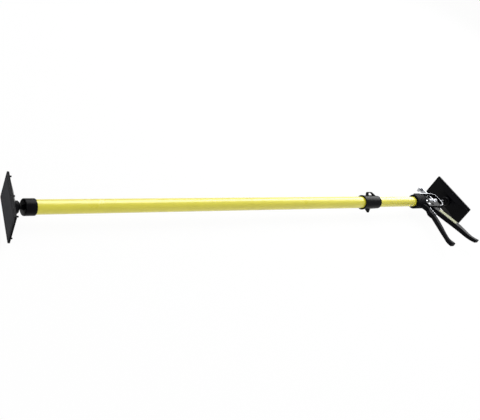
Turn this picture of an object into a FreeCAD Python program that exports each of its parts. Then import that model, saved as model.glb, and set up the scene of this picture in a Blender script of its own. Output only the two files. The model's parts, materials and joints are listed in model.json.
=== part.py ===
import FreeCAD, Part
import math
import os

# Telescopic drywall support prop, lying on the floor on the edges of its two pads.
# Working frame: X along the pole from the head ball, Y away from the jack handle, Z up, millimetres.
# At the end everything moves so that the origin is the middle of the footprint, on the floor.

V = FreeCAD.Vector

# Fits
run_fit = 0.05        # radial play of a turning or sliding fit
rod_fit = 0.08        # radial play of the push rod in its guides
seat_fit = 0.03       # radial play of a fixed pin, screw or plug
swivel_gap = 0.3      # gap between the ball, its liner and the socket
end_gap = 0.3         # axial gap where one piece stops against another
plate_slop = 0.8      # play of the tilting release plate on the rod

# Telescopic tubes
outer_diameter = 28.0
outer_wall = 1.2
outer_length = 880.0
inner_diameter = 25.0
inner_wall = 1.2
inner_length = 814.0
exposed_inner = 135.0     # inner tube seen between collar and jack, as shown
tail_flange = 10.0
tail_plug = 18.0
tail_hole = 12.0

# Head cap
cap_diameter = 32.0
cap_length = 22.0
cap_end_wall = 6.0
cap_room = 6.0            # space between the end wall and the tube end
cap_bevel = 1.5

# Ball joint, the same at both ends
ball_radius = 7.5
ball_reach = 13.0         # ball centre to the face its stud seats on
neck_radius = 3.5
shoulder_radius = 5.0
shoulder_length = 2.0
liner_wall = 2.2
liner_back = 4.2          # liner cut behind the ball centre
liner_front = 5.5
socket_wall = 2.0
socket_split = 2.0        # the ring meets the boss this far behind the ball centre
ring_length = 2.7
ring_lip = 1.0            # wall left at the back end of the ring
head_shank_radius = 4.0
head_shank_length = 15.0
foot_shank_radius = 3.0
foot_shank_length = 15.0
nut_flats = 13.0
nut_length = 6.5

# Pads
pad_length = 127.0
pad_height = 61.5
pad_reach = 15.0          # ball centre to the pressing face
face_thickness = 2.0
rim_thickness = 2.0
rim_lip = 2.5
hip_height = 7.0
hip_length = 46.0
hip_width = 31.0
face_rounding = 0.8
peg_radius = 1.6
peg_out = 4.5             # peg end behind the back of the rim
peg_end_inset = 9.0
peg_side_inset = 5.5
pegs_along = 3
head_turn = -12.0         # turn of each pad about Z on its ball, degrees
foot_turn = 9.2
head_tilt = 3.0           # lean of the head pad about its long side, degrees
foot_roll = 5.4           # turn of the foot pad about the pole, degrees

# Twist lock collar
collar_length = 58.0
collar_lap = 19.0         # collar over the outer tube
collar_rim_radius = 17.75
collar_rim_width = 3.5
collar_start_radius = 17.2
collar_end_radius = 15.6
collar_bevel = 1.5
collar_lip = 4.0
collar_lip_play = 0.4
sleeve_inset = 2.0
sleeve_wall = 1.65
sleeve_shoulder = 2.0
finger_wall = 1.3
finger_slots = 4
finger_slot_width = 1.6
wing_radius = 25.3
wing_thickness = 4.0
wing_angle = 48.2         # wing direction from +Y towards +Z, degrees
loop_start = 17.0         # wing stations from the collar's rim
loop_top_start = 19.0
loop_top_end = 35.0
loop_end = 52.0
loop_leg = 5.5            # wall before the loop's opening
loop_strap = 2.3          # strap over the loop's opening
loop_rounding = 1.2
lug_start = 12.0
lug_tip_start = 21.0
lug_tip_end = 25.0
lug_end = 30.0
clip_station = 5.0
clip_width = 1.2
clip_depth = 0.8
clip_stand = 0.4
clip_gap = 3.0

# Jack body
socket_radius = 18.2
socket_length = 34.0
socket_bevel = 1.2
tube_socket_depth = 26.0
body_half = 6.3           # half thickness of the lug and the grip root
flat_half = 9.5
flat_length = 18.0
flat_stand = 0.1          # flat above the round of the socket
lug_length = 11.5
root_end = -58.0
root_left = -12.0
root_right = 1.0
root_neck = 3.0
root_waist = 8.0          # below the lug, where the root narrows
waist_left = -6.0
heel_left = -14.4
heel_rise = 11.0          # heel of the root above its end
core_half_width = 2.2
core_half_height = 1.8
core_length = 78.0
core_back = 5.5           # start of the core behind the socket face
core_inset = 8.0          # start of the core inside the root
core_slant = 0.29         # run of the core along X for each unit along Y
grip_length = 105.0
grip_half = 6.2
grip_tip_half = 5.4
screw_radius = 1.9
screw_head_radius = 3.3
screw_head_height = 1.8
screw_stations = (8.0, 21.0)

# Guide yoke, a bent strip round the rod in front of the jack body
strip = 2.5
strip_half = 10.0
yoke_length = 64.0        # socket face to the front of the yoke
yoke_corner = 16.0
near_side = -28.0
near_leg_start = 44.0     # from the socket face
strap_gap = 0.3
strap_thickness = 3.0
strap_top = -13.0
bolt_radius = 2.0
bolt_head_radius = 3.8
bolt_head_height = 2.2
rivet_radius = 1.6
rivet_head_radius = 3.2
rivet_head_height = 1.6
rivet_depth = 4.0
rivet_stations = (-13.5, -4.5)

# Push rod
rod_diameter = 10.0
rod_out = 23.6            # rod past the front of the yoke, jack wound in
rod_inside = 126.0        # rod behind the inside of the socket's end wall
stop_length = 10.0
stop_play = 0.4
bush_wall = 2.0
bush_inside = 2.0
bush_flange = 1.5
bush_flange_radius = 9.0

# Trigger and its drive plate
pivot_out = 20.0          # pivot in front of the socket face
pivot_side = -20.5
hub_radius = 7.5
nose_radius = 3.0
nose_side = 11.0
nose_forward = 0.4
pin_radius = 2.5
pin_head_radius = 4.0
pin_head_height = 1.8
pin_tail = 2.6
pin_clip_radius = 4.4
pin_clip_thickness = 0.8
trigger_length = 137.5
trigger_half = 6.2
trigger_tip_half = 4.8
trigger_even = 0.62       # share of the trigger that keeps its full height
drive_thickness = 3.0
drive_top = 13.0
drive_bottom = -12.4
drive_half = 6.3
label_thickness = 0.5
label_length = 54.0
label_width = 13.0
label_start = 24.0        # from the pivot along the trigger
label_side = 4.0          # from the pivot across the trigger

# Release plate with its thumb tab
release_out = 43.0        # back of the plate in front of the socket face
release_thickness = 2.4
release_half = 6.0
release_bottom = -11.0
release_top = 46.0
tab_bend = 4.0
tab_length = 1.5
tab_curl = 1.6
slot_play = 0.3
slot_swing = 3.0
spring_inner = 5.9
spring_wall = 1.3


# Values worked out from the sizes above
outer_radius = outer_diameter / 2
outer_bore = outer_radius - outer_wall
inner_radius = inner_diameter / 2
inner_bore = inner_radius - inner_wall
rod_radius = rod_diameter / 2
cap_face = ball_reach
cap_end = cap_face + cap_length
tube_start = cap_face + cap_end_wall + cap_room
tube_end = tube_start + outer_length
collar_start = tube_end - collar_lap
collar_end = collar_start + collar_length
socket_start = collar_end + exposed_inner
socket_front = socket_start + socket_length
inner_end = socket_start + tube_socket_depth - end_gap
inner_start = inner_end - inner_length
pivot = V(socket_front + pivot_out, pivot_side, 0)
yoke_front = socket_front + yoke_length
far_side = socket_radius + flat_stand
rod_end = yoke_front + rod_out
foot_ball = rod_end + end_gap + ball_reach
liner_radius = ball_radius + swivel_gap + liner_wall
socket_bore = liner_radius + swivel_gap
boss_radius = socket_bore + socket_wall
release_back = socket_front + release_out
release_front = release_back + release_thickness
drive_back = pivot.x + nose_forward + nose_radius + end_gap
drive_front = drive_back + drive_thickness
strap_low = body_half + strap_gap
strap_high = strap_low + strap_thickness
bolt_x = socket_front + lug_length / 2
rod_hole = rod_radius + rod_fit
bush_radius = rod_hole + bush_wall


def cylinder(x0, x1, radius, y=0.0, z=0.0):
    """Round bar along X."""
    return Part.makeCylinder(radius, x1 - x0, V(x0, y, z), V(1, 0, 0))


def ring(x0, x1, outer, bore):
    return cylinder(x0, x1, outer).cut(cylinder(x0 - 1, x1 + 1, bore))


def upright(x, y, radius, z0, z1):
    """Round bar along Z."""
    return Part.makeCylinder(radius, z1 - z0, V(x, y, z0), V(0, 0, 1))


def block(x0, x1, y0, y1, z0, z1):
    return Part.makeBox(x1 - x0, y1 - y0, z1 - z0, V(x0, y0, z0))


def turned(profile):
    """Solid of revolution about X from (station, radius) corners."""
    corners = [V(x, r, 0) for x, r in profile]
    face = Part.Face(Part.makePolygon(corners + corners[:1]))
    return face.revolve(V(0, 0, 0), V(1, 0, 0), 360)


def slab(corners, z0, z1):
    """Flat piece from its plan corners."""
    points = [V(x, y, z0) for x, y in corners]
    return Part.Face(Part.makePolygon(points + points[:1])).extrude(V(0, 0, z1 - z0))


def curve(points):
    line = Part.BSplineCurve()
    line.interpolate(points)
    return line.toShape()


def lever(left, right, z_half):
    """Bar with two curved long sides, given from its top to its tip."""
    left = [V(x, y, -z_half) for x, y in left]
    right = [V(x, y, -z_half) for x, y in right]
    edges = [curve(left), Part.makeLine(left[-1], right[-1]), curve(right), Part.makeLine(right[0], left[0])]
    return Part.Face(Part.Wire(Part.__sortEdges__(edges))).extrude(V(0, 0, 2 * z_half))


def side_taper(y0, half0, y1, half1, x0, x1):
    """Wedge that thins a lever in height from y0 to y1."""
    corners = [V(x0, y0, -half0), V(x0, y0, half0), V(x0, y1, half1), V(x0, y1, -half1)]
    return Part.Face(Part.makePolygon(corners + corners[:1])).extrude(V(x1 - x0, 0, 0))


parts = {}


# Tubes
def make_tubes():
    parts["outer_tube"] = ring(tube_start, tube_end, outer_radius, outer_bore)
    tube = ring(inner_start, inner_end, inner_radius, inner_bore)
    for station in screw_stations:
        tube = tube.cut(upright(socket_start + station, 0, screw_radius + seat_fit, -outer_diameter, 0))
    parts["inner_tube"] = tube
    flange = cylinder(inner_start - tail_flange, inner_start, outer_bore - run_fit)
    plug = cylinder(inner_start, inner_start + tail_plug, inner_bore - seat_fit)
    hole = cylinder(inner_start - tail_flange - 1, inner_start + tail_plug + 1, tail_hole / 2)
    parts["tail_bush"] = flange.fuse(plug).cut(hole).removeSplitter()


# Head cap
def make_head_cap():
    radius = cap_diameter / 2
    cap = turned([
        (cap_face, 0), (cap_face, radius - cap_bevel), (cap_face + cap_bevel, radius),
        (cap_end, radius), (cap_end, 0)])
    cap = cap.cut(cylinder(tube_start, cap_end + 1, outer_radius + seat_fit))
    cap = cap.cut(cylinder(cap_face + cap_end_wall, tube_start + 1, outer_bore - outer_wall))
    parts["head_cap"] = cap.cut(cylinder(cap_face - 1, cap_end, head_shank_radius + run_fit))


# Ball joint and pad, built with the ball at the origin and the pressing face towards +X
def make_stud(shank_radius, shank_length):
    ball = Part.makeSphere(ball_radius)
    neck = cylinder(-ball_reach + end_gap, 0, neck_radius)
    shoulder = cylinder(-ball_reach + end_gap, -ball_reach + end_gap + shoulder_length, shoulder_radius)
    shank = cylinder(-ball_reach - shank_length, -ball_reach + end_gap, shank_radius)
    return ball.multiFuse([neck, shoulder, shank]).removeSplitter()


def bowed(radius, x0, x1):
    """Arc about the ball centre between two stations, in the plan plane."""
    places = [V(x, math.sqrt(radius ** 2 - x ** 2), 0) for x in (x0, (x0 + x1) / 2, x1)]
    return Part.Arc(*places).toShape()


def make_liner():
    inside = bowed(ball_radius + swivel_gap, -liner_back, liner_front)
    outside = bowed(liner_radius, -liner_back, liner_front)
    ends = [Part.makeLine(inside.Vertexes[i].Point, outside.Vertexes[i].Point) for i in (0, 1)]
    profile = Part.Wire(Part.__sortEdges__([inside, outside] + ends))
    return Part.Face(profile).revolve(V(0, 0, 0), V(1, 0, 0), 360)


def make_ring():
    back = -socket_split - ring_length
    back_radius = math.sqrt(socket_bore ** 2 - back ** 2) + ring_lip
    body = turned([(back, 0), (back, back_radius), (-socket_split, boss_radius), (-socket_split, 0)])
    return body.cut(Part.makeSphere(socket_bore))


def peg_places():
    step = (pad_length - 2 * peg_end_inset) / (pegs_along - 1)
    places = []
    for i in range(pegs_along):
        for side in (-1, 1):
            y = -pad_length / 2 + peg_end_inset + i * step
            places.append((y, side * (pad_height / 2 - peg_side_inset)))
    return places


def rectangle(x, length, height):
    corners = [V(x, sy * length / 2, sz * height / 2) for sy, sz in ((-1, -1), (1, -1), (1, 1), (-1, 1))]
    return Part.makePolygon(corners + corners[:1])


def make_plate():
    front = pad_reach - face_thickness
    back = front - rim_thickness
    plate = block(back, front, -pad_length / 2, pad_length / 2, -pad_height / 2, pad_height / 2)
    foot = rectangle(back, pad_length - 2 * rim_lip, pad_height - 2 * rim_lip)
    top = rectangle(back - hip_height, hip_length, hip_width)
    hip = Part.makeLoft([foot, top], True, True)
    boss = cylinder(-socket_split, back + 1, boss_radius)
    plate = plate.multiFuse([hip, boss]).cut(Part.makeSphere(socket_bore))
    for y, z in peg_places():
        plate = plate.cut(cylinder(-boss_radius, front + 1, peg_radius + seat_fit, y, z))
    return plate.removeSplitter()


def make_face():
    back = pad_reach - face_thickness
    sheet = block(back, pad_reach, -pad_length / 2, pad_length / 2, -pad_height / 2, pad_height / 2)
    corners = [e for e in sheet.Edges if e.BoundBox.XLength > face_thickness / 2]
    sheet = sheet.makeFillet(face_rounding, corners)
    peg_end = back - rim_thickness - peg_out
    for y, z in peg_places():
        sheet = sheet.fuse(cylinder(peg_end, back + face_thickness / 2, peg_radius, y, z))
    return sheet.removeSplitter()


def make_swivel(name, centre, tilt, turn, roll, shank_radius, shank_length):
    pieces = {
        "socket_liner": make_liner(),
        "socket_ring": make_ring(),
        "pad_plate": make_plate(),
        "pad_face": make_face(),
    }
    half_turn = 180.0 if name == "head" else 0.0
    for piece, shape in pieces.items():
        shape.rotate(V(0, 0, 0), V(0, 1, 0), tilt)
        shape.rotate(V(0, 0, 0), V(0, 0, 1), half_turn + turn)
        shape.rotate(V(0, 0, 0), V(1, 0, 0), roll)
        shape.translate(V(centre, 0, 0))
        parts[name + "_" + piece] = shape
    stud = make_stud(shank_radius, shank_length)
    stud.rotate(V(0, 0, 0), V(0, 0, 1), half_turn)
    stud.translate(V(centre, 0, 0))
    parts[name + "_ball_stud"] = stud


def make_head_nut():
    start = cap_face + cap_end_wall + end_gap
    corner = nut_flats / 2 / math.cos(math.radians(30))
    angles = [math.radians(60 * i) for i in range(7)]
    outline = Part.makePolygon([V(start, corner * math.cos(a), corner * math.sin(a)) for a in angles])
    nut = Part.Face(outline).extrude(V(nut_length, 0, 0))
    bore = cylinder(start - 1, start + nut_length + 1, head_shank_radius + seat_fit)
    parts["head_stud_nut"] = nut.cut(bore)


# Twist lock collar and the slotted sleeve that it turns on
def loop_opening(base):
    """Opening that leaves an even strap under the sloping side of the loop."""
    slope = (loop_end - loop_top_end) / (wing_radius - base)
    shift = loop_strap * math.sqrt(1 + slope ** 2)
    left = collar_start + loop_start + loop_leg
    levels = (collar_start_radius, wing_radius - loop_strap)
    low, high = [collar_start + loop_top_end + (wing_radius - level) * slope - shift for level in levels]
    hole = slab([(left, levels[0]), (low, levels[0]), (high, levels[1]), (left, levels[1])],
                -wing_thickness, wing_thickness)
    edges = [e for e in hole.Edges if e.BoundBox.ZLength > wing_thickness]
    return hole.makeFillet(loop_rounding, edges)


def make_collar():
    sleeve_start = collar_start + sleeve_inset
    sleeve_radius = outer_radius + seat_fit + sleeve_wall
    shoulder = tube_end + end_gap
    finger_start = shoulder + sleeve_shoulder
    finger_end = collar_end - collar_lip - end_gap
    finger_bore = inner_radius + run_fit
    finger_radius = finger_bore + finger_wall
    sleeve = cylinder(sleeve_start, finger_start, sleeve_radius)
    sleeve = sleeve.fuse(cylinder(finger_start, finger_end, finger_radius))
    sleeve = sleeve.cut(cylinder(sleeve_start - 1, shoulder, outer_radius + seat_fit))
    sleeve = sleeve.cut(cylinder(sleeve_start, finger_end + 1, finger_bore))
    clip_start = collar_start + clip_station
    groove = ring(clip_start, clip_start + clip_width, 2 * sleeve_radius, sleeve_radius - clip_depth)
    sleeve = sleeve.cut(groove)
    for i in range(finger_slots):
        slot = block(finger_start + sleeve_shoulder, finger_end + 1,
                     -finger_slot_width / 2, finger_slot_width / 2, 0, 2 * sleeve_radius)
        slot.rotate(V(0, 0, 0), V(1, 0, 0), 360 / finger_slots * i)
        sleeve = sleeve.cut(slot)
    parts["collet_sleeve"] = sleeve.removeSplitter()

    clip = ring(clip_start, clip_start + clip_width, sleeve_radius + clip_stand, sleeve_radius - clip_depth)
    parts["collar_clip"] = clip.cut(block(clip_start - 1, clip_start + clip_width + 1,
                                          -clip_gap / 2, clip_gap / 2, -2 * sleeve_radius, 0))

    rim_end = collar_start + collar_rim_width
    collar = turned([
        (collar_start, 0), (collar_start, collar_rim_radius), (rim_end, collar_rim_radius),
        (rim_end + collar_rim_radius - collar_start_radius, collar_start_radius),
        (collar_end - collar_bevel, collar_end_radius), (collar_end, collar_end_radius - collar_bevel),
        (collar_end, 0)])
    loop = ((loop_start, 0), (loop_top_start, wing_radius), (loop_top_end, wing_radius), (loop_end, 0))
    lug = ((lug_start, 0), (lug_tip_start, wing_radius), (lug_tip_end, wing_radius), (lug_end, 0))
    base = collar_end_radius - collar_bevel
    half = wing_thickness / 2
    for corners, angle in ((loop, wing_angle), (lug, wing_angle + 180)):
        wing = slab([(collar_start + x, max(r, base)) for x, r in corners], -half, half)
        if corners is loop:
            wing = wing.cut(loop_opening(base))
        wing.rotate(V(0, 0, 0), V(1, 0, 0), angle)
        collar = collar.fuse(wing)
    collar = collar.cut(cylinder(collar_start - 1, finger_start + end_gap, sleeve_radius + run_fit))
    collar = collar.cut(cylinder(collar_start, collar_end - collar_lip, finger_radius + run_fit))
    collar = collar.cut(cylinder(collar_start, collar_end + 1, inner_radius + collar_lip_play))
    clip_room = cylinder(clip_start - end_gap, clip_start + clip_width + end_gap,
                         sleeve_radius + clip_stand + end_gap)
    parts["twist_collar"] = collar.cut(clip_room).removeSplitter()


# Jack body with its grip
def grip_line():
    """Middle of the grip's core, from its root to its end, and the unit direction."""
    start = V(socket_front - core_back, root_end + core_inset, 0)
    way = V(-core_slant, -1, 0).normalize()
    return start, way


def core_bar(length, half_width, half_height):
    start, way = grip_line()
    bar = block(0, length, -half_width, half_width, -half_height, half_height)
    bar.rotate(V(0, 0, 0), V(0, 0, 1), math.degrees(math.atan2(way.y, way.x)))
    bar.translate(start)
    return bar


def make_jack_body():
    body = turned([
        (socket_start, 0), (socket_start, socket_radius - socket_bevel),
        (socket_start + socket_bevel, socket_radius), (socket_front - socket_bevel, socket_radius),
        (socket_front, socket_radius - socket_bevel), (socket_front, 0)])
    flat = block(socket_front - flat_length, socket_front, inner_radius, far_side, -flat_half, flat_half)
    lug_front = socket_front + lug_length
    root = slab([
        (socket_front + root_left - root_neck, strap_top), (lug_front, strap_top), (lug_front, near_side),
        (socket_front + root_neck, near_side - root_waist), (socket_front + root_right, root_end),
        (socket_front + root_left, root_end), (socket_front + heel_left, root_end + heel_rise),
        (socket_front + waist_left, near_side - root_neck)],
        -body_half, body_half)
    body = body.multiFuse([flat, root, core_bar(core_length, core_half_width, core_half_height)])
    wall = socket_start + tube_socket_depth
    body = body.cut(cylinder(socket_start - 1, wall, inner_radius + seat_fit))
    body = body.cut(cylinder(wall - 1, lug_front, rod_hole))
    body = body.cut(upright(bolt_x, pivot_side, bolt_radius + seat_fit, -2 * body_half, 2 * body_half))
    for station in screw_stations:
        x = socket_start + station
        body = body.cut(upright(x, 0, screw_radius + seat_fit, -2 * socket_radius, 0))
        body = body.cut(upright(x, 0, screw_head_radius + seat_fit,
                                -2 * socket_radius, -socket_radius + screw_head_height / 2))
    for x in rivet_places():
        body = body.cut(Part.makeCylinder(rivet_radius + seat_fit, rivet_depth + end_gap,
                                          V(x, far_side, 0), V(0, -1, 0)))
    parts["jack_body"] = body.removeSplitter()


def make_socket_screws():
    screws = []
    for station in screw_stations:
        x = socket_start + station
        head_top = -socket_radius + screw_head_height / 2
        shank = upright(x, 0, screw_radius, head_top - 0.1, -inner_bore - end_gap)
        head = upright(x, 0, screw_head_radius, head_top - screw_head_height, head_top)
        screws.append(shank.fuse(head).removeSplitter())
    parts["socket_screws"] = Part.makeCompound(screws)


def along(start, size, shares):
    """Points from a start, each a share of one size in X and in Y."""
    return [(start[0] + x * size, start[1] + y * size) for x, y in shares]


def make_grip_cover():
    top = root_end - end_gap
    left = along((socket_front + root_left, top), grip_length,
                 ((0, 0), (-0.043, -0.15), (-0.223, -0.743), (-0.261, -0.876), (-0.233, -1)))
    right = along((socket_front + root_right, top), grip_length,
                  ((0, 0), (-0.067, -0.226), (-0.262, -0.743), (-0.276, -0.847), (-0.224, -0.962)))
    cover = lever(left, right, body_half)
    cover = cover.common(side_taper(root_end, grip_half, left[-1][1], grip_tip_half,
                                    socket_front - grip_length, socket_front + grip_length))
    pocket = core_bar(core_length + end_gap, core_half_width + seat_fit, core_half_height + seat_fit)
    parts["grip_cover"] = cover.cut(pocket)


# Guide yoke and its fastenings
def rivet_places():
    return [socket_front + station for station in rivet_stations]


def rounded_bay(x0, x1, y0, y1, half, corner):
    """Block with its two front upright edges rounded."""
    bay = block(x0, x1, y0, y1, -half, half)
    front = [e for e in bay.Edges if e.BoundBox.ZLength > half and e.BoundBox.XMin > x1 - 1e-6]
    return bay.makeFillet(corner, front)


def make_yoke():
    start = socket_front - flat_length
    yoke = rounded_bay(start, yoke_front, near_side, far_side + strip, strip_half, yoke_corner)
    bay = rounded_bay(start - 1, yoke_front - strip, near_side + strip, far_side, 2 * strip_half,
                      yoke_corner - strip)
    yoke = yoke.cut(bay)
    near_end = socket_front + near_leg_start
    reach = 2 * strip_half
    yoke = yoke.cut(block(start - 1, near_end, near_side - 1, near_side + strip + 1, -reach, reach))
    for low in (strap_low, -strap_high):
        strap = block(socket_front + end_gap, near_end + strip, near_side, strap_top,
                      low, low + strap_thickness)
        yoke = yoke.fuse(strap)
    yoke = yoke.cut(cylinder(yoke_front - 2 * strip, yoke_front + 1, bush_radius + seat_fit))
    yoke = yoke.cut(upright(pivot.x, pivot.y, pin_radius + seat_fit, -reach, reach))
    yoke = yoke.cut(upright(bolt_x, pivot_side, bolt_radius + seat_fit, -reach, reach))
    slot_half = release_half + slot_play
    yoke = yoke.cut(block(release_back - slot_swing, release_front + slot_swing,
                          far_side - 1, far_side + strip + 1, -slot_half, slot_half))
    for x in rivet_places():
        yoke = yoke.cut(Part.makeCylinder(rivet_radius + seat_fit, 4 * strip,
                                          V(x, far_side - strip, 0), V(0, 1, 0)))
    parts["guide_yoke"] = yoke.removeSplitter()

    rivets = []
    for x in rivet_places():
        shank = Part.makeCylinder(rivet_radius, rivet_depth + strip,
                                  V(x, far_side - rivet_depth, 0), V(0, 1, 0))
        head = Part.makeCone(rivet_head_radius, rivet_head_radius / 2, rivet_head_height,
                             V(x, far_side + strip, 0), V(0, 1, 0))
        rivets.append(shank.fuse(head).removeSplitter())
    parts["yoke_rivets"] = Part.makeCompound(rivets)

    bolt = upright(bolt_x, pivot_side, bolt_radius, -strap_high, strap_high)
    for z in (strap_high, -strap_high - bolt_head_height):
        bolt = bolt.fuse(upright(bolt_x, pivot_side, bolt_head_radius, z, z + bolt_head_height))
    parts["yoke_bolt"] = bolt.removeSplitter()

    bush = cylinder(yoke_front - strip - bush_inside, yoke_front + bush_flange, bush_radius)
    bush = bush.fuse(cylinder(yoke_front, yoke_front + bush_flange, bush_flange_radius))
    bush = bush.cut(cylinder(yoke_front - 4 * strip, yoke_front + 4 * strip, rod_hole))
    parts["rod_bush"] = bush.removeSplitter()


# Push rod and its stop
def make_rod():
    start = socket_start + tube_socket_depth - rod_inside
    rod = cylinder(start, rod_end, rod_radius)
    bore = cylinder(rod_end - foot_shank_length - 1, rod_end + 1, foot_shank_radius + run_fit)
    parts["push_rod"] = rod.cut(bore)
    parts["rod_stop"] = ring(start, start + stop_length, inner_bore - stop_play, rod_radius + seat_fit)


# Trigger, its pin and the plate that it pushes
def make_trigger():
    x, y = pivot.x, pivot.y
    left = along((x, y), trigger_length,
                 ((-0.05, -0.018), (0.036, -0.236), (0.182, -0.593), (0.24, -0.811), (0.375, -1)))
    right = along((x, y), trigger_length,
                  ((0.05, 0.018), (0.145, -0.149), (0.284, -0.542), (0.325, -0.847), (0.451, -0.985)))
    arm = lever(left, right, trigger_half)
    thinning = y - trigger_length * trigger_even
    x0, x1 = x - trigger_length, x + trigger_length
    wedge = side_taper(thinning, trigger_half, left[-1][1], trigger_tip_half, x0, x1)
    upper = block(x0, x1, thinning, y + hub_radius, -trigger_half, trigger_half)
    arm = arm.common(wedge.fuse(upper).removeSplitter())
    hub = upright(x, y, hub_radius, -trigger_half, trigger_half)
    nose_x = x + nose_forward
    nose = upright(nose_x, y + nose_side, nose_radius, -trigger_half, trigger_half)
    web = slab([(nose_x - nose_radius, y), (nose_x + nose_radius, y), (nose_x + nose_radius, y + nose_side),
                (nose_x - nose_radius, y + nose_side)], -trigger_half, trigger_half)
    trigger = arm.multiFuse([hub, nose, web])
    trigger = trigger.cut(upright(x, y, pin_radius + run_fit, -2 * trigger_half, 2 * trigger_half))
    parts["trigger"] = trigger.removeSplitter()

    way = V(right[2][0] - right[1][0], right[2][1] - right[1][1], 0).normalize()
    across = V(-way.y, way.x, 0)
    middle = V(x, y, 0) + way * label_start + across * label_side
    label = block(0, label_length, -label_width / 2, label_width / 2,
                  trigger_half, trigger_half + label_thickness)
    label.rotate(V(0, 0, 0), V(0, 0, 1), math.degrees(math.atan2(way.y, way.x)))
    label.translate(middle)
    parts["trigger_label"] = label

    pin = upright(x, y, pin_radius, -strap_high - pin_tail, strap_high)
    pin = pin.fuse(upright(x, y, pin_head_radius, strap_high, strap_high + pin_head_height))
    parts["trigger_pin"] = pin.removeSplitter()
    clip = upright(x, y, pin_clip_radius, -strap_high - pin_clip_thickness, -strap_high)
    clip = clip.cut(upright(x, y, pin_radius + seat_fit, -2 * strap_high, 0))
    gap = block(x - pin_radius / 2, x + pin_radius / 2, y, y + 2 * pin_clip_radius, -2 * strap_high, 0)
    parts["pin_clip"] = clip.cut(gap)

    plate = block(drive_back, drive_front, drive_bottom, drive_top, -drive_half, drive_half)
    parts["drive_plate"] = plate.cut(cylinder(drive_back - 1, drive_front + 1, rod_radius + swivel_gap))


# Release plate and the two springs on the rod
def quarter_bend(x, y, inner, outer):
    """Quarter of a ring in plan, on the +X, +Y side of its centre."""
    bend = upright(x, y, outer, -release_half, release_half)
    bend = bend.cut(upright(x, y, inner, -release_half, release_half))
    return bend.common(block(x, x + outer, y, y + outer, -release_half, release_half))


def make_release():
    plate = block(release_back, release_front, release_bottom, release_top, -release_half, release_half)
    centre_x = release_back - tab_bend
    bend = quarter_bend(centre_x, release_top, tab_bend, tab_bend + release_thickness)
    tab_y = release_top + tab_bend
    tab = block(centre_x - tab_length, centre_x, tab_y, tab_y + release_thickness,
                -release_half, release_half)
    curl_x = centre_x - tab_length
    curl_y = tab_y - tab_curl
    outer = tab_curl + release_thickness
    curl = upright(curl_x, curl_y, outer, -release_half, release_half)
    curl = curl.cut(upright(curl_x, curl_y, tab_curl, -release_half, release_half))
    left_half = block(curl_x - outer, curl_x, curl_y - outer, curl_y + outer, -release_half, release_half)
    curl = curl.common(left_half)
    plate = plate.multiFuse([bend, tab, curl])
    hole = cylinder(release_back - 1, release_front + 1, rod_radius + plate_slop)
    parts["release_plate"] = plate.cut(hole).removeSplitter()

    spring_outer = spring_inner + spring_wall
    parts["drive_spring"] = ring(drive_front + end_gap, release_back - end_gap, spring_outer, spring_inner)
    spring_end = yoke_front - strip - bush_inside - end_gap
    parts["release_spring"] = ring(release_front + end_gap, spring_end, spring_outer, spring_inner)


make_tubes()
make_head_cap()
make_swivel("head", 0.0, head_tilt, head_turn, 0.0, head_shank_radius, head_shank_length)
make_head_nut()
make_collar()
make_jack_body()
make_socket_screws()
make_grip_cover()
make_yoke()
make_rod()
make_trigger()
make_release()
make_swivel("foot", foot_ball, 0.0, foot_turn, foot_roll, foot_shank_radius, foot_shank_length)

# Move the middle of the footprint, on the floor, to the origin
extent = Part.makeCompound(list(parts.values())).optimalBoundingBox(False, False)
origin = V((extent.XMin + extent.XMax) / 2, (extent.YMin + extent.YMax) / 2, extent.ZMin)

os.makedirs("parts", exist_ok=True)
for node, shape in parts.items():
    shape.translate(-origin)
    shape.exportStep("parts/" + node + ".step")
print(len(parts), "pieces, size", [round(v, 1) for v in (extent.XLength, extent.YLength, extent.ZLength)])
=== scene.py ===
import json
import math
import bpy
from mathutils import Matrix, Vector


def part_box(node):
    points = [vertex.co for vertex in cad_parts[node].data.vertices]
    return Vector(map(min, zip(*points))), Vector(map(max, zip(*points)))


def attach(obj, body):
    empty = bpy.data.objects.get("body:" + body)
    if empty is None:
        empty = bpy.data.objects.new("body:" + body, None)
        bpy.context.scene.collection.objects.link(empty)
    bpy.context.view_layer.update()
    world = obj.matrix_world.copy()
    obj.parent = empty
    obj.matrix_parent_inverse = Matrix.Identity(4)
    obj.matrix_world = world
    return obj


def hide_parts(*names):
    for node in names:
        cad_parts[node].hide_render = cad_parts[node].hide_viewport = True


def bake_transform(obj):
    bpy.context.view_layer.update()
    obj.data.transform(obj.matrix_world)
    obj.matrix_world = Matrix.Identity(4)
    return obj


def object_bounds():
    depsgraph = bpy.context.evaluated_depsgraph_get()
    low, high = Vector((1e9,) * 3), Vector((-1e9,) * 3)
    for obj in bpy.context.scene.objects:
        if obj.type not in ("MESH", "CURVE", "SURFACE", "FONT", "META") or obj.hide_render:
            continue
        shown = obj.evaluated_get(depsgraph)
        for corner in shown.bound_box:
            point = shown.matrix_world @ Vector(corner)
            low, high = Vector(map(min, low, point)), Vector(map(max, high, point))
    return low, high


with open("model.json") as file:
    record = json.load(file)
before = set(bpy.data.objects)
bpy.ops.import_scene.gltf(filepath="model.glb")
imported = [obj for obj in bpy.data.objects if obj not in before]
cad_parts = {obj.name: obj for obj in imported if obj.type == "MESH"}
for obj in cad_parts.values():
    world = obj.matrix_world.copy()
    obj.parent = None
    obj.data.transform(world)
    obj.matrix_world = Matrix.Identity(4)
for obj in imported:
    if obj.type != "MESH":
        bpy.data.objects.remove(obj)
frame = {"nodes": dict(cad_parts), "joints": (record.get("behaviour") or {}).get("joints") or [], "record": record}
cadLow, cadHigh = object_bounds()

bpy.ops.object.select_all(action="DESELECT")
scene = bpy.context.scene
mm = 0.001
squareOn = 0.9  # a face looks along an axis when its normal has more than this share of it
levelGap = 1 * mm  # the ends of an edge are level when they differ by less than this

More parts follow.
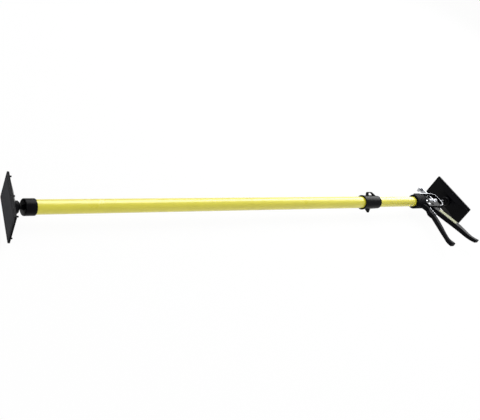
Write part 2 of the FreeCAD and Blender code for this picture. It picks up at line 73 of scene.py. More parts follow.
# Places that come from the frame
tubeLow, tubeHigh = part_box("outer_tube")
axisY = (tubeLow.y + tubeHigh.y) / 2
axisZ = (tubeLow.z + tubeHigh.z) / 2
joints = {joint["name"]: joint for joint in frame["joints"]}
mounts = {mount["name"]: mount for mount in frame["record"]["mounts"]}
pivot = Vector(joints["trigger_squeeze"]["pos_m"])
driveGap = 23.7 * mm  # from the socket's front to the drive plate
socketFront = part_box("drive_plate")[0].x - driveGap
print("frame: pole axis at", round(axisY, 4), round(axisZ, 4))


# Finishes: a colour and its shine, clouds that vary them and a fine grain that lifts the surface
coatRough = 0.24
noiseLow, noiseHigh = 0.3, 0.7  # most values of a noise lie between these
yellowPaint = {
    "surface": {"base": (0.75, 0.68, 0.045), "rough": 0.34, "coat": 0.6},
    "cloud": 14, "tints": ((0.73, 0.66, 0.04), (0.77, 0.7, 0.052)), "roughs": (0.26, 0.34),
    "grain": {"size": 900}, "bump": {"depth": 0.06 * mm, "strength": 0.12}}
blackPlastic = {
    "surface": {"base": (0.001, 0.001, 0.002), "rough": 0.29, "specular": 0.06},
    "cloud": 40, "tints": ((0.0006, 0.0006, 0.0012), (0.0018, 0.0018, 0.003)), "roughs": (0.26, 0.32),
    "grain": {"size": 1800}, "bump": {"depth": 0.12 * mm, "strength": 0.2}}
blackMetal = {
    "surface": {"base": (0.001, 0.001, 0.002), "rough": 0.34, "specular": 0.055},
    "cloud": 30, "tints": ((0.0006, 0.0006, 0.0012), (0.002, 0.002, 0.0032)), "roughs": (0.32, 0.42),
    "grain": {"size": 1200}, "bump": {"depth": 0.1 * mm, "strength": 0.15}}
padRubber = {
    "surface": {"base": (0.018, 0.018, 0.021), "rough": 0.65, "specular": 0.05},
    "cloud": 45, "tints": ((0.007, 0.007, 0.01), (0.026, 0.027, 0.031)), "roughs": (0.58, 0.72),
    "grain": {"size": 1400}, "bump": {"depth": 0.2 * mm, "strength": 0.3}}
brightZinc = {  # brushed, so its shine follows the grain
    "surface": {"base": (0.38, 0.39, 0.41), "rough": 0.2, "metallic": 1.0}, "brushed": True,
    "cloud": 60, "tints": ((0.33, 0.34, 0.36), (0.43, 0.44, 0.46)), "roughs": (0.14, 0.26),
    "grain": {"size": 160, "stretch": (1, 18, 18)}, "bump": {"depth": 0.05 * mm, "strength": 0.15}}
labelYellow = {  # smooth, without a grain
    "surface": {"base": (0.21, 0.22, 0.107), "rough": 0.5, "specular": 0.3},
    "cloud": 120, "tints": ((0.18, 0.19, 0.092), (0.24, 0.25, 0.122))}
dullBlack = {  # cast jack body and the skin of the grip, which hardly shine
    "surface": {"base": (0.002, 0.002, 0.003), "rough": 0.62, "specular": 0.05},
    "cloud": 35, "tints": ((0.001, 0.001, 0.002), (0.003, 0.003, 0.0045)), "roughs": (0.56, 0.68),
    "grain": {"size": 1000}, "bump": {"depth": 0.15 * mm, "strength": 0.2}}


def newMaterial(name, base, rough, metallic=0.0, coat=0.0, specular=0.5):
    material = bpy.data.materials.new(name)
    material.use_nodes = True
    shader = material.node_tree.nodes["Principled BSDF"]
    shader.inputs["Base Color"].default_value = (*base, 1)
    shader.inputs["Roughness"].default_value = rough
    shader.inputs["Metallic"].default_value = metallic
    shader.inputs["Coat Weight"].default_value = coat
    shader.inputs["Coat Roughness"].default_value = coatRough
    shader.inputs["Specular IOR Level"].default_value = specular
    return material, material.node_tree.nodes, material.node_tree.links, shader


def objectNoise(nodes, links, size, detail=4.0, stretch=(1, 1, 1)):
    place = nodes.new("ShaderNodeTexCoord")
    mapping = nodes.new("ShaderNodeMapping")
    mapping.inputs["Scale"].default_value = stretch
    noise = nodes.new("ShaderNodeTexNoise")
    noise.inputs["Scale"].default_value = size
    noise.inputs["Detail"].default_value = detail
    links.new(place.outputs["Object"], mapping.inputs["Vector"])
    links.new(mapping.outputs["Vector"], noise.inputs["Vector"])
    return noise.outputs["Fac"]


def shineBy(nodes, links, shader, source, low, high):
    reach = nodes.new("ShaderNodeMapRange")
    reach.inputs["From Min"].default_value = noiseLow
    reach.inputs["From Max"].default_value = noiseHigh
    reach.inputs["To Min"].default_value = low
    reach.inputs["To Max"].default_value = high
    links.new(source, reach.inputs["Value"])
    links.new(reach.outputs["Result"], shader.inputs["Roughness"])


def tintBy(nodes, links, shader, source, dark, light):
    ramp = nodes.new("ShaderNodeValToRGB")
    for stop, colour, position in zip(ramp.color_ramp.elements, (dark, light), (noiseLow, noiseHigh)):
        stop.color = (*colour, 1)
        stop.position = position
    links.new(source, ramp.inputs["Fac"])
    links.new(ramp.outputs["Color"], shader.inputs["Base Color"])


def liftBy(nodes, links, shader, source, depth, strength):
    bump = nodes.new("ShaderNodeBump")
    bump.inputs["Strength"].default_value = strength
    bump.inputs["Distance"].default_value = depth
    links.new(source, bump.inputs["Height"])
    links.new(bump.outputs["Normal"], shader.inputs["Normal"])


def makeFinish(name, look):
    material, nodes, links, shader = newMaterial(name, **look["surface"])
    cloud = objectNoise(nodes, links, look["cloud"])
    tintBy(nodes, links, shader, cloud, *look["tints"])
    if "grain" in look:
        grain = objectNoise(nodes, links, **look["grain"])
        shineBy(nodes, links, shader, grain if "brushed" in look else cloud, *look["roughs"])
        liftBy(nodes, links, shader, grain, **look["bump"])
    return material


materials = {
    "yellow_paint": makeFinish("yellowPaint", yellowPaint),
    "black_plastic": makeFinish("blackPlastic", blackPlastic),
    "black_metal": makeFinish("blackMetal", blackMetal),
    "pad_rubber": makeFinish("padRubber", padRubber),
    "bright_zinc": makeFinish("brightZinc", brightZinc),
    "label_yellow": makeFinish("labelYellow", labelYellow)}
skin = makeFinish("dullBlack", dullBlack)
slotOf = {part["node"]: part["material_slot"] for part in frame["record"]["subparts"]}
for name, node in frame["nodes"].items():
    node.data.materials.clear()
    node.data.materials.append(materials[slotOf[name]])
print("materials:", len(materials))


# Modelling helpers
def activeMesh(name):
    piece = bpy.context.active_object
    piece.name = name
    piece.data.name = name
    return piece


def selectOnly(*pieces):
    bpy.ops.object.select_all(action="DESELECT")
    for piece in pieces:
        piece.select_set(True)
    bpy.context.view_layer.objects.active = pieces[0]


def editMode(on):
    bpy.ops.object.mode_set(mode="EDIT" if on else "OBJECT")


def applyAll(piece):
    bpy.context.view_layer.objects.active = piece
    for modifier in list(piece.modifiers):
        bpy.ops.object.modifier_apply(modifier=modifier.name)


def bevel(piece, width, segments=3, angle=30):
    rounding = piece.modifiers.new("bevel", "BEVEL")
    rounding.width = width
    rounding.segments = segments
    rounding.limit_method = "ANGLE"
    rounding.angle_limit = math.radians(angle)
    applyAll(piece)


def smooth(piece, angle=35):
    selectOnly(piece)
    bpy.ops.object.shade_smooth_by_angle(angle=math.radians(angle))
    even = piece.modifiers.new("even", "WEIGHTED_NORMAL")  # flat faces stay flat beside round edges
    even.keep_sharp = True
    applyAll(piece)


def settle(piece):
    selectOnly(piece)
    bpy.ops.object.transform_apply(location=True, rotation=True, scale=True)


def joinAll(name, pieces):
    selectOnly(*pieces)
    if len(pieces) > 1:
        bpy.ops.object.join()
    whole = activeMesh(name)
    settle(whole)
    return whole


def copyTo(piece, offset):
    selectOnly(piece)
    bpy.ops.object.duplicate(linked=False)
    twin = bpy.context.active_object
    twin.data.transform(Matrix.Translation(offset))
    return twin


def finishPiece(piece, slot, body, *nodes, look=None):
    piece.data.materials.clear()
    piece.data.materials.append(look or materials[slot])
    if isinstance(body, tuple):  # (moving body, still body, start, end) of a piece between two bodies; it is only baked in place and attached to neither
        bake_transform(piece)
    else:
        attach(piece, body)
    if nodes:
        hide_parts(*nodes)
    print("piece:", piece.name, len(piece.data.polygons))


def startPick(kind):
    editMode(True)
    bpy.ops.mesh.select_mode(type=kind)
    bpy.ops.mesh.select_all(action="DESELECT")
    editMode(False)


def pickFaces(piece, test):
    startPick("FACE")
    for face in piece.data.polygons:
        face.select = test(face)
    editMode(True)


def pickSide(piece, way):
    pickFaces(piece, lambda face: face.normal.dot(Vector(way)) > squareOn)


def roundEdges(piece, radius, test):
    # the edges whose two ends pass the test
    startPick("EDGE")
    points = piece.data.vertices
    for line in piece.data.edges:
        line.select = test(points[line.vertices[0]].co, points[line.vertices[1]].co)
    editMode(True)
    bpy.ops.mesh.bevel(offset=radius, segments=5, affect="EDGES")
    editMode(False)


def pushFaces(offset):
    bpy.ops.mesh.extrude_region_move(TRANSFORM_OT_translate={"value": offset})


def faceOutwards():
    bpy.ops.mesh.select_all(action="SELECT")
    bpy.ops.mesh.normals_make_consistent(inside=False)


def block(name, centre, size, heading=0):
    bpy.ops.mesh.primitive_cube_add(size=1, location=centre, rotation=(0, 0, heading))
    piece = activeMesh(name)
    piece.scale = size
    settle(piece)
    return piece


def upright(name, x, y, radius, low, high, soft, sides=48):
    bpy.ops.mesh.primitive_cylinder_add(
        vertices=sides, radius=radius, depth=high - low, location=(x, y, (low + high) / 2))
    post = activeMesh(name)
    settle(post)
    bevel(post, soft)
    return post


def roundShell(name, profile, centre=(0, 0, 0), sides=72):
    # turned about a line along X from (station, radius) pairs in mm, the last one joins the first
    profile = [(x * mm, r * mm) for x, r in profile]
    station, radius = profile[0]
    bpy.ops.mesh.primitive_circle_add(vertices=sides, radius=1, rotation=(0, math.pi / 2, 0))
    piece = activeMesh(name)
    settle(piece)
    editMode(True)
    bpy.ops.mesh.select_all(action="SELECT")
    bpy.ops.transform.resize(value=(1, radius, radius))
    bpy.ops.transform.translate(value=(station, 0, 0))
    for nextStation, nextRadius in profile[1:] + profile[:1]:
        bpy.ops.mesh.extrude_edges_move(TRANSFORM_OT_translate={"value": (nextStation - station, 0, 0)})
        ratio = nextRadius / radius
        bpy.ops.transform.resize(value=(1, ratio, ratio), center_override=(nextStation, 0, 0))
        station, radius = nextStation, nextRadius
    bpy.ops.mesh.select_all(action="SELECT")
    bpy.ops.mesh.remove_doubles(threshold=0.001 * mm)
    faceOutwards()
    bpy.ops.transform.translate(value=centre)
    editMode(False)
    return piece


def leverBar(name, x0, y0, cuts):
    # bar along -Y from (y, left, right, half height) cuts, in mm from a point of the plan
    stations = [(x0 + left * mm, x0 + right * mm, y0 + y * mm, half * mm) for y, left, right, half in cuts]
    left, right, y, half = stations[0]
    bpy.ops.mesh.primitive_plane_add(size=2, rotation=(math.pi / 2, 0, 0))
    piece = activeMesh(name)
    settle(piece)
    editMode(True)
    bpy.ops.mesh.select_all(action="SELECT")
    bpy.ops.transform.resize(value=((right - left) / 2, 1, half))
    bpy.ops.transform.translate(value=((left + right) / 2, y, axisZ))
    for nextLeft, nextRight, nextY, nextHalf in stations[1:]:
        middle = (nextLeft + nextRight) / 2
        pushFaces((middle - (left + right) / 2, nextY - y, 0))
        bpy.ops.transform.resize(
            value=((nextRight - nextLeft) / (right - left), 1, nextHalf / half),
            center_override=(middle, nextY, axisZ))
        left, right, y, half = nextLeft, nextRight, nextY, nextHalf
    faceOutwards()
    editMode(False)
    return piece


# Sizes that the facings and the plates of the two pads share
pad = {
    "length": 127 * mm, "height": 61.5 * mm, "corner": 3 * mm,
    "reach": 15 * mm,  # from the ball's centre to the pressing face
    "face": 2 * mm, "rim": 2 * mm,  # thickness of the rubber and of the plate behind it
    "frame": 1.6 * mm, "frameBack": 0.4 * mm}  # width of the frame round the rubber, and its step back


def padMatrix(end):
    # ball at the origin, pressing face towards +X and the long side along Y
    out = Vector(mounts[end + "_face"]["axis"])
    side = Vector(joints[end + "_tilt"]["axis"])
    turn = Matrix((out, side, out.cross(side))).transposed().to_4x4()
    return Matrix.Translation(joints[end + "_tilt"]["pos_m"]) @ turn


def roundCorners(piece, radius, thick):
    # the four outer edges, the only ones as tall as the piece is thick
    roundEdges(piece, radius, lambda a, b: abs(a.x - b.x) > thick / 2)


# Rubber facings with their snap pegs
facing = {"border": 4 * mm, "groove": 1.2 * mm, "grooveDepth": 0.5 * mm, "soft": 0.35 * mm}
peg = {
    "rows": 3, "fromEnd": 9 * mm, "fromSide": 5.5 * mm, "radius": 1.6 * mm, "soft": 0.5 * mm,
    "out": 4.5 * mm, "sunk": 0.5 * mm}  # past the back of the rim, and into the sheet


def makePeg(name):
    # from inside the sheet to the tip behind the plate's rim
    root = pad["reach"] - pad["face"] + peg["sunk"]
    tip = pad["reach"] - pad["face"] - pad["rim"] - peg["out"]
    bpy.ops.mesh.primitive_cylinder_add(
        vertices=24, radius=peg["radius"], depth=root - tip,
        location=((root + tip) / 2, 0, 0), rotation=(0, -math.pi / 2, 0))
    post = activeMesh(name)
    settle(post)
    bevel(post, peg["soft"])
    return post


def makeFacing(name, place, body, node):
    sheet = block(
        name, (pad["reach"] - pad["face"] / 2, 0, 0),
        (pad["face"], pad["length"] - 2 * pad["frame"], pad["height"] - 2 * pad["frame"]))
    pickSide(sheet, (1, 0, 0))
    # shallow groove round the pressing face, then soft edges
    bpy.ops.mesh.inset(thickness=facing["border"])
    pushFaces((-facing["grooveDepth"], 0, 0))
    bpy.ops.mesh.inset(thickness=facing["groove"])
    pushFaces((facing["grooveDepth"], 0, 0))
    editMode(False)
    roundCorners(sheet, pad["corner"] - pad["frame"], pad["face"])
    bevel(sheet, facing["soft"])
    firstY = -pad["length"] / 2 + peg["fromEnd"]
    step = -2 * firstY / (peg["rows"] - 1)
    sideZ = pad["height"] / 2 - peg["fromSide"]
    model = makePeg(name + "Peg")
    pieces = [sheet]
    for row in range(peg["rows"]):
        for z in (-sideZ, sideZ):
            pieces.append(copyTo(model, (0, firstY + row * step, z)))
    bpy.data.objects.remove(model)
    whole = joinAll(name, pieces)
    whole.data.transform(place)
    smooth(whole)
    finishPiece(whole, "pad_rubber", body, node)


makeFacing("headFacing", padMatrix("head"), "head_pad", "head_pad_face")
makeFacing("footFacing", padMatrix("foot"), "foot_pad", "foot_pad_face")


# Pad plates: thin rim, hipped back and the boss of the ball socket
plate = {
    "hipLength": 46 * mm, "hipHeight": 31 * mm, "hip": 7 * mm, "lip": 2.5 * mm, "seatGap": 0.1 * mm,
    "rimSoft": 0.5 * mm, "hipSoft": 0.8 * mm,
    "boss": ((-2, 12.1), (-1.7, 12.3), (8, 12.3), (8, 10.5), (-2, 10.15))}  # station and radius, in mm


def makePlate(name, place, body, node):
    front = pad["reach"] - pad["face"]
    rimBack = front - pad["rim"]
    frameFront = pad["reach"] - pad["frameBack"]
    thick = frameFront - rimBack
    rim = block(name + "Rim", (frameFront - thick / 2, 0, 0), (thick, pad["length"], pad["height"]))
    # seat for the rubber facing
    pickSide(rim, (1, 0, 0))
    bpy.ops.mesh.inset(thickness=pad["frame"] - plate["seatGap"])
    pushFaces((front - frameFront, 0, 0))
    editMode(False)
    roundCorners(rim, pad["corner"], thick)
    bevel(rim, plate["rimSoft"])
    wide, tall = pad["length"] - 2 * plate["lip"], pad["height"] - 2 * plate["lip"]
    hip = block(name + "Hip", (rimBack - plate["hip"] / 2, 0, 0), (plate["hip"], wide, tall))
    pickSide(hip, (-1, 0, 0))
    bpy.ops.transform.resize(value=(1, plate["hipLength"] / wide, plate["hipHeight"] / tall))
    editMode(False)
    bevel(hip, plate["hipSoft"], angle=5)  # its slopes are gentle
    boss = roundShell(name + "Boss", plate["boss"])
    whole = joinAll(name, [rim, hip, boss])
    whole.data.transform(place)
    smooth(whole, angle=25)
    finishPiece(whole, "black_plastic", body, node)


makePlate("headPlate", padMatrix("head"), "head_pad", "head_pad_plate")
makePlate("footPlate", padMatrix("foot"), "foot_pad", "foot_pad_plate")


# Coil springs on the rod
spring = {"wireRadius": 0.6 * mm, "wireSides": 12, "pitch": 2.04 * mm, "turnSteps": 28}


def makeSpring(name, node, moving):
    low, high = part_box(node)
    wire = spring["wireRadius"]
    turns = round((high.x - low.x) / spring["pitch"])
    outer = (high.y - low.y) / 2
    bpy.ops.mesh.primitive_circle_add(
        vertices=spring["wireSides"], radius=wire, location=(0, outer - wire, 0))
    coil = activeMesh(name)
    settle(coil)
    twist = coil.modifiers.new("twist", "SCREW")
    twist.axis = "X"
    twist.angle = 2 * math.pi * turns
    twist.screw_offset = high.x - low.x - 2 * wire
    twist.steps = spring["turnSteps"] * turns
    twist.render_steps = twist.steps
    twist.use_merge_vertices = False
    applyAll(coil)
    editMode(True)
    bpy.ops.mesh.select_all(action="SELECT")
    bpy.ops.mesh.fill_holes(sides=spring["wireSides"])  # ends of the wire
    faceOutwards()
    editMode(False)
    coil.data.transform(Matrix.Translation((low.x + wire, axisY, axisZ)))
    smooth(coil, angle=60)
    start, end = (low.x, axisY, axisZ), (high.x, axisY, axisZ)
    finishPiece(coil, "bright_zinc", (moving, "inner_pole", start, end), node)


makeSpring("driveCoil", "drive_spring", "drive")
makeSpring("releaseCoil", "release_spring", "release")


# Trigger: a channel lever on its hub, with the nose that pushes the drive plate
trigger = {
    "cuts": (  # y, left, right and half height from the pivot, in mm
        (2.0, -6.8, 7.2, 6.2), (-10, -3.9, 13.6, 6.2), (-20, 0.1, 19.6, 6.2), (-32.5, 5.0, 25.0, 6.2),
        (-50, 12.0, 31.2, 6.2), (-66, 18.7, 36.4, 6.2), (-81.5, 25.0, 40.4, 6.2), (-97, 29.7, 42.4, 5.9),
        (-111.5, 33.2, 44.2, 5.5), (-121, 37.2, 47.4, 5.2), (-129, 42.8, 53.8, 5.0),
        (-135.4, 49.6, 61.0, 4.8)),
    "half": 6.2 * mm, "hub": 7.5 * mm, "nose": 3 * mm, "noseX": 0.4 * mm, "noseY": 11 * mm,
    "armSoft": 1.5 * mm, "hubSoft": 0.8 * mm, "noseSoft": 0.5 * mm, "webSoft": 0.4 * mm}
channel = {  # hollow of the front, in the faces whose normals look forward by more than this share
    "frontOn": 0.4, "fromPivot": 15 * mm, "fromTip": 8 * mm, "wall": 1.7 * mm,
    "push": (-5.5 * mm, -1.5 * mm, 0)}


def makeTrigger():
    arm = leverBar("triggerArm", pivot.x, pivot.y, trigger["cuts"])
    start = pivot.y - channel["fromPivot"]
    end = pivot.y + trigger["cuts"][-1][0] * mm + channel["fromTip"]
    pickFaces(arm, lambda face: face.normal.x > channel["frontOn"] and end < face.center.y < start)
    bpy.ops.mesh.inset(thickness=channel["wall"])
    pushFaces(channel["push"])
    editMode(False)
    bevel(arm, trigger["armSoft"], angle=40)
    low, high = axisZ - trigger["half"], axisZ + trigger["half"]
    hub = upright("triggerHub", pivot.x, pivot.y, trigger["hub"], low, high, trigger["hubSoft"])
    noseX, noseY = pivot.x + trigger["noseX"], pivot.y + trigger["noseY"]
    nose = upright("triggerNose", noseX, noseY, trigger["nose"], low, high, trigger["noseSoft"], sides=32)
    web = block(
        "triggerWeb", (noseX, (pivot.y + noseY) / 2, axisZ),
        (2 * trigger["nose"], trigger["noseY"], 2 * trigger["half"]))
    bevel(web, trigger["webSoft"], segments=2)
    whole = joinAll("triggerLever", [arm, hub, nose, web])
    smooth(whole, angle=40)
    finishPiece(whole, "black_metal", "trigger", "trigger")


makeTrigger()

# Yellow strip on the trigger, with round corners
strip = {"corner": 2.5 * mm, "soft": 0.12 * mm, "match": 0.05 * mm}


def makeStrip():
    low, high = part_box("trigger_label")
    thick = high.z - low.z
    points = [Vector((v.co.x, v.co.y)) for v in frame["nodes"]["trigger_label"].data.vertices]
    first = points[0]
    # in plan, the corners lie a short side, a long side and a diagonal away from the first
    wide, long = sorted({round((point - first).length, 5) for point in points})[1:3]
    end = next(point for point in points if abs((point - first).length - long) < strip["match"])
    heading = math.atan2(end.y - first.y, end.x - first.x)
    piece = block("labelStrip", (low + high) / 2, (long, wide, thick), heading)
    roundEdges(piece, strip["corner"], lambda a, b: abs(a.z - b.z) > thick / 2)
    bevel(piece, strip["soft"], segments=2, angle=40)
    smooth(piece)
    finishPiece(piece, "label_yellow", "trigger", "trigger_label")


makeStrip()

# Fixed grip, a slender oval bar that curls at its end
grip = {
    "cuts": (  # y from the pole axis, left and right from the socket's front, half height, in mm
        (-58.3, -12.0, 1.0, 6.2), (-66, -14.0, -1.1, 6.1), (-74, -16.5, -3.5, 6.05), (-90, -21.4, -8.7, 5.95),
        (-105, -26.2, -14.2, 5.85), (-120, -30.8, -20.4, 5.7), (-136, -35.4, -26.3, 5.6),
        (-145, -38.2, -27.9, 5.5), (-152, -39.2, -26.6, 5.45), (-158, -38.0, -23.4, 5.4),
        (-162.0, -36.6, -21.8, 5.4)),
    "round": 3.4 * mm, "soft": 0.7 * mm}


def makeGrip():
    bar = leverBar("gripBar", socketFront, axisY, grip["cuts"])
    roundEdges(bar, grip["round"], lambda a, b: abs(a.y - b.y) > levelGap)
    bevel(bar, grip["soft"], angle=50)
    smooth(bar, angle=50)
    finishPiece(bar, "black_plastic", "inner_pole", "grip_cover", look=skin)


makeGrip()

# Jack body: tube socket, lug between the straps and the root of the grip
jack = {
    "socket": (  # station from the front and radius, in mm
        (-34, 16.6), (-33.5, 17.6), (-32.6, 18.2), (-1.4, 18.2), (-0.5, 17.6), (0, 16.6), (0, 5.15),
        (-8, 5.15), (-8, 12.6), (-34, 12.6)),
    "root": (  # y from the pole axis, left and right from the socket's front, in mm
        (-13, -15.0, 11.5), (-24, -9.6, 11.5), (-28, -7.6, 11.5), (-31, -6.0, 8.0), (-36, -8.6, 3.0),
        (-47, -14.4, 2.0), (-53, -13.2, 1.5), (-58, -12.0, 1.0)),
    "rootHalf": 6.3,  # half its height, in mm
    "flat": {"length": 18 * mm, "low": 12 * mm, "high": 18.3 * mm, "half": 9.5 * mm},
    "rootSoft": 1.4 * mm, "flatSoft": 0.8 * mm}


def makeJackBody():
    socket = roundShell("jackSocket", jack["socket"], (socketFront, axisY, axisZ))
    root = leverBar("jackRoot", socketFront, axisY, [(*cut, jack["rootHalf"]) for cut in jack["root"]])
    bevel(root, jack["rootSoft"], angle=20)
    size = jack["flat"]
    flat = block(
        "jackFlat", (socketFront - size["length"] / 2, axisY + (size["low"] + size["high"]) / 2, axisZ),
        (size["length"], size["high"] - size["low"], 2 * size["half"]))
    bevel(flat, jack["flatSoft"])
    whole = joinAll("jackBody", [socket, root, flat])
    smooth(whole, angle=30)
    finishPiece(whole, "black_metal", "inner_pole", "jack_body", look=skin)


makeJackBody()

# Painted highlight: thin bright zinc strips laid along the edges of the yoke strip and of the grip's root, where
# those black edges catch the light
highlightLines = {  # in mm, from the socket's front and the pole axis
    "far": 19.55, "near": -26.75,  # lines of the yoke's two legs
    "farStart": 4, "nearEnd": 44, "front": 62.75, "corner": 14.75,
    "yokeHalf": 10.0, "yokeWide": 0.9, "rootWide": 0.8, "thick": 0.4, "soft": 0.12,
    "root": ((4.5, -18), (2.2, -28), (0.6, -38), (0.8, -50), (-0.4, -58), (-2.6, -66), (-4.6, -73))}


def highlightStrip(name, path, wide, low):
    # flat wire of painted highlight along points of the plan, each cut square to the way on
    height = axisZ + (low + highlightLines["thick"] / 2) * mm
    places = [Vector((socketFront + x * mm, axisY + y * mm, height)) for x, y in path]
    ways = [after - before for before, after in zip(places[:1] + places, places[1:] + places[-1:])]
    headings = [math.atan2(way.y, way.x) for way in ways]
    bpy.ops.mesh.primitive_plane_add(size=1, rotation=(0, math.pi / 2, 0))
    wire = activeMesh(name)
    settle(wire)
    editMode(True)
    bpy.ops.mesh.select_all(action="SELECT")
    bpy.ops.transform.resize(value=(1, wide * mm, highlightLines["thick"] * mm))
    bpy.ops.transform.rotate(value=-headings[0], orient_axis="Z", center_override=(0, 0, 0))
    bpy.ops.transform.translate(value=places[0])
    for i in range(1, len(places)):
        pushFaces(places[i] - places[i - 1])
        swing = (headings[i] - headings[i - 1] + math.pi) % (2 * math.pi) - math.pi
        bpy.ops.transform.rotate(value=-swing, orient_axis="Z", center_override=places[i])
    faceOutwards()
    editMode(False)
    return wire


def finishHighlights(name, wires):
    whole = joinAll(name, wires)
    bevel(whole, highlightLines["soft"] * mm, segments=2, angle=40)
    smooth(whole, angle=40)
    # bright zinc here paints the highlight on the black edges
    finishPiece(whole, "bright_zinc", "inner_pole")


def makeEdgeHighlights():
    r = highlightLines["corner"]
    bend = [math.radians(turn) for turn in range(0, 100, 10)]  # a quarter in steps of 10 degrees
    path = [(highlightLines["farStart"], highlightLines["far"])]
    path += [(highlightLines["front"] - r + r * math.sin(a), highlightLines["far"] - r + r * math.cos(a)) for a in bend]
    path += [(highlightLines["front"] - r + r * math.cos(a), highlightLines["near"] + r - r * math.sin(a)) for a in bend]
    path += [(highlightLines["nearEnd"], highlightLines["near"])]
    lows = (highlightLines["yokeHalf"], -highlightLines["yokeHalf"] - highlightLines["thick"])  # above and below the strip
    finishHighlights("yokeEdgeHighlights", [highlightStrip("yokeEdge", path, highlightLines["yokeWide"], low) for low in lows])
    finishHighlights("rootEdgeHighlight", [highlightStrip("rootEdgeHighlight", highlightLines["root"], highlightLines["rootWide"], jack["rootHalf"])])


makeEdgeHighlights()

# Strap's rivet and trigger's pin, with round heads at the top (1) and the bottom (-1)
rivet = {"head": 2.2 * mm, "shank": 2 * mm, "soft": 0.3 * mm, "ways": (1, -1)}
pin = {"head": 1.8 * mm, "shank": 2.5 * mm, "soft": 0.3 * mm, "ways": (1,)}


def roundHead(name, x, y, radius, base, height, way):
    bpy.ops.mesh.primitive_uv_sphere_add(segments=40, ring_count=20, radius=1)
    head = activeMesh(name)
    head.scale = (radius, radius, height)
    head.location = (x, y, base)
    settle(head)
    editMode(True)
    bpy.ops.mesh.select_all(action="SELECT")
    bpy.ops.mesh.bisect(plane_co=(x, y, base), plane_no=(0, 0, way), use_fill=True, clear_inner=True)
    editMode(False)
    return head


def makeRivet(name, slot, node, size):
    low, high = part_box(node)
    x, y, radius = (low.x + high.x) / 2, (low.y + high.y) / 2, (high.x - low.x) / 2
    top = high.z - size["head"]
    bottom = low.z + size["head"] if -1 in size["ways"] else low.z
    pieces = [upright(name + "Shank", x, y, size["shank"], bottom, top, size["soft"])]
    for way in size["ways"]:
        base = top if way > 0 else bottom
        pieces.append(roundHead(name + "Head", x, y, radius, base, size["head"], way))
    whole = joinAll(name, pieces)
    smooth(whole, angle=40)
    finishPiece(whole, slot, "inner_pole", node)


makeRivet("strapRivet", "bright_zinc", "yoke_bolt", rivet)
makeRivet("pivotPin", "black_metal", "trigger_pin", pin)

# Twist collar with its finger loop and lug
wing = {"high": 25.3, "wide": 4}  # crown above the pole axis and thickness of loop and lug, in mm
collar = {
    "body": (  # station and radius, in mm
        (0, 17.3), (0.5, 17.75), (3.0, 17.75), (3.9, 17.2), (56.2, 15.6), (57.5, 15.0), (58, 14.1),
        (58, 12.95), (54, 12.95), (23.6, 14.1), (23.6, 15.8), (0, 15.8)),
    # start and end at the foot and at the crown, in mm
    "loop": {"foot": (17, 52), "crown": (19, 35), "low": 14.5, **wing},
    "eye": {"foot": (24.5, 40), "crown": (24.5, 33.5), "low": 17.2, "high": 23, "wide": 12},
    "lug": {"foot": (12, 30), "crown": (21, 25), "low": 15.5, **wing},
    "tilt": -41.8, "loopRound": 3 * mm, "eyeRound": 1.9 * mm, "soft": 0.9 * mm}


def wingSlab(name, foot, crown, low, high, wide):
    # trapezium that stands on the pole axis
    footLong, crownLong = foot[1] - foot[0], crown[1] - crown[0]
    slab = block(
        name, (sum(foot) / 2 * mm, 0, (low + high) / 2 * mm), (footLong * mm, wide * mm, (high - low) * mm))
    pickSide(slab, (0, 0, 1))
    bpy.ops.transform.resize(value=(crownLong / footLong, 1, 1))
    bpy.ops.transform.translate(value=((sum(crown) - sum(foot)) / 2 * mm, 0, 0))
    editMode(False)
    return slab


def makeLoop():
    loop = wingSlab("collarLoop", **collar["loop"])
    crown = wing["high"] * mm - levelGap
    roundEdges(
        loop, collar["loopRound"],
        lambda a, b: abs(a.y - b.y) > levelGap and min(a.z, b.z) > crown)
    eye = wingSlab("collarEye", **collar["eye"])
    bevel(eye, collar["eyeRound"], segments=5)
    cut = loop.modifiers.new("eye", "BOOLEAN")
    cut.operation = "DIFFERENCE"
    cut.solver = "EXACT"
    cut.object = eye
    applyAll(loop)
    bpy.data.objects.remove(eye)
    return loop


def makeCollar():
    place = Matrix.Translation((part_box("twist_collar")[0].x, axisY, axisZ))
    barrel = roundShell("collarBody", collar["body"], place.translation)
    loop = makeLoop()
    lug = wingSlab("collarLug", **collar["lug"])
    lug.data.transform(Matrix.Rotation(math.pi, 4, "X"))
    for slab in (loop, lug):
        bevel(slab, collar["soft"], angle=35)
        slab.data.transform(place @ Matrix.Rotation(math.radians(collar["tilt"]), 4, "X"))
    whole = joinAll("twistCollar", [barrel, loop, lug])
    smooth(whole, angle=30)
    finishPiece(whole, "black_plastic", "collar", "twist_collar")


makeCollar()

# Head cap
cap = {"profile": (  # station and radius, in mm
    (0, 14.4), (0.4, 15.1), (1.0, 15.7), (1.8, 16.0), (21.3, 16.0), (21.8, 15.8), (22, 15.4), (22, 14.05),
    (12, 14.05), (12, 11.5), (6, 11.5), (6, 4.1), (0, 4.1))}


def makeCap():
    piece = roundShell("headCap", cap["profile"], (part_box("head_cap")[0].x, axisY, axisZ))
    smooth(piece, angle=30)
    finishPiece(piece, "black_plastic", "pole", "head_cap")


makeCap()


# White background: paper and sky glow for the rays that show them, and light the part softly
paper = {"size": 200, "drop": 0.5 * mm, "glow": 0.96,
         "surface": {"base": (0.86, 0.86, 0.86), "rough": 0.9, "specular": 0.1}}
sky = {"lights": 0.2, "shows": 1.0}
white = (1, 1, 1, 1)


def seenRays(nodes, links):
    # 1 for the rays that show the background, straight on or in metal
    path = nodes.new("ShaderNodeLightPath")
    seen = path.outputs["Is Camera Ray"]
    for ray in ("Is Glossy Ray", "Is Transmission Ray"):
        either = nodes.new("ShaderNodeMath")
        either.operation = "MAXIMUM"
        links.new(seen, either.inputs[0])
        links.new(path.outputs[ray], either.inputs[1])
        seen = either.outputs[0]
    return seen


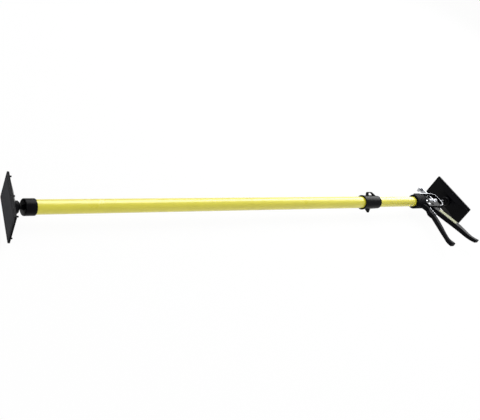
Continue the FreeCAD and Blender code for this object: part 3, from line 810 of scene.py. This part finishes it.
def makeFloor():
    bpy.ops.mesh.primitive_plane_add(size=paper["size"], location=(0, 0, cadLow.z - paper["drop"]))
    floor = activeMesh("floor")
    material, nodes, links, shader = newMaterial("floorPaper", **paper["surface"])
    glow = nodes.new("ShaderNodeEmission")
    glow.inputs["Color"].default_value = white
    glow.inputs["Strength"].default_value = 1.0
    share = nodes.new("ShaderNodeMath")
    share.operation = "MULTIPLY"
    share.inputs[1].default_value = paper["glow"]
    mix = nodes.new("ShaderNodeMixShader")
    links.new(seenRays(nodes, links), share.inputs[0])
    links.new(share.outputs[0], mix.inputs["Fac"])
    links.new(shader.outputs["BSDF"], mix.inputs[1])
    links.new(glow.outputs["Emission"], mix.inputs[2])
    links.new(mix.outputs["Shader"], nodes["Material Output"].inputs["Surface"])
    floor.data.materials.append(material)


def makeSky():
    world = bpy.data.worlds.new("studio")
    scene.world = world
    world.use_nodes = True
    nodes, links = world.node_tree.nodes, world.node_tree.links
    background = nodes["Background"]
    background.inputs["Color"].default_value = white
    level = nodes.new("ShaderNodeMapRange")
    level.inputs["To Min"].default_value = sky["lights"]
    level.inputs["To Max"].default_value = sky["shows"]
    links.new(seenRays(nodes, links), level.inputs["Value"])
    links.new(level.outputs["Result"], background.inputs["Strength"])


# Lamps, in metres and watts
lamps = {
    "keyLight": {"place": (0.7, 0.9, 1.9), "target": (0, 0, 0), "power": 48, "size": 1.8},
    "fillLight": {"place": (-1.6, -1.5, 1.2), "target": (0, 0, 0), "power": 17, "size": 1.6},
    "backLight": {"place": (1.9, 0.6, 0.95), "target": (0.5, -0.05, 0), "power": 26, "size": 1.3}}


def addLight(name, place, target, power, size):
    bpy.ops.object.light_add(type="AREA", location=place)
    light = bpy.context.active_object
    light.name = name
    light.data.energy = power
    light.data.size = size
    light.rotation_euler = (Vector(target) - Vector(place)).to_track_quat("-Z", "Y").to_euler()


# Camera, placed from the head end of the pole
view = {
    "right": (0.7801, -0.4747, 0.4076), "up": (0.0158, 0.6661, 0.7457), "back": (-0.6255, -0.5753, 0.5271),
    "offset": Vector((-626.2, -1027.7, 924.3)) * mm, "lens": 61.85, "sensor": 36}


def addCamera():
    bpy.ops.object.camera_add()
    camera = bpy.context.active_object
    camera.name = "photoCamera"
    turn = Matrix((view["right"], view["up"], view["back"])).transposed().to_4x4()
    place = Vector((tubeLow.x, axisY, axisZ)) + view["offset"]
    camera.matrix_world = Matrix.Translation(place) @ turn
    camera.data.lens = view["lens"]
    camera.data.sensor_width = view["sensor"]
    scene.camera = camera


makeFloor()
for name, lamp in lamps.items():
    addLight(name, **lamp)
makeSky()
scene.view_settings.view_transform = "Standard"
addCamera()
print("stage: floor, sky, camera and", len(lamps), "lamps")
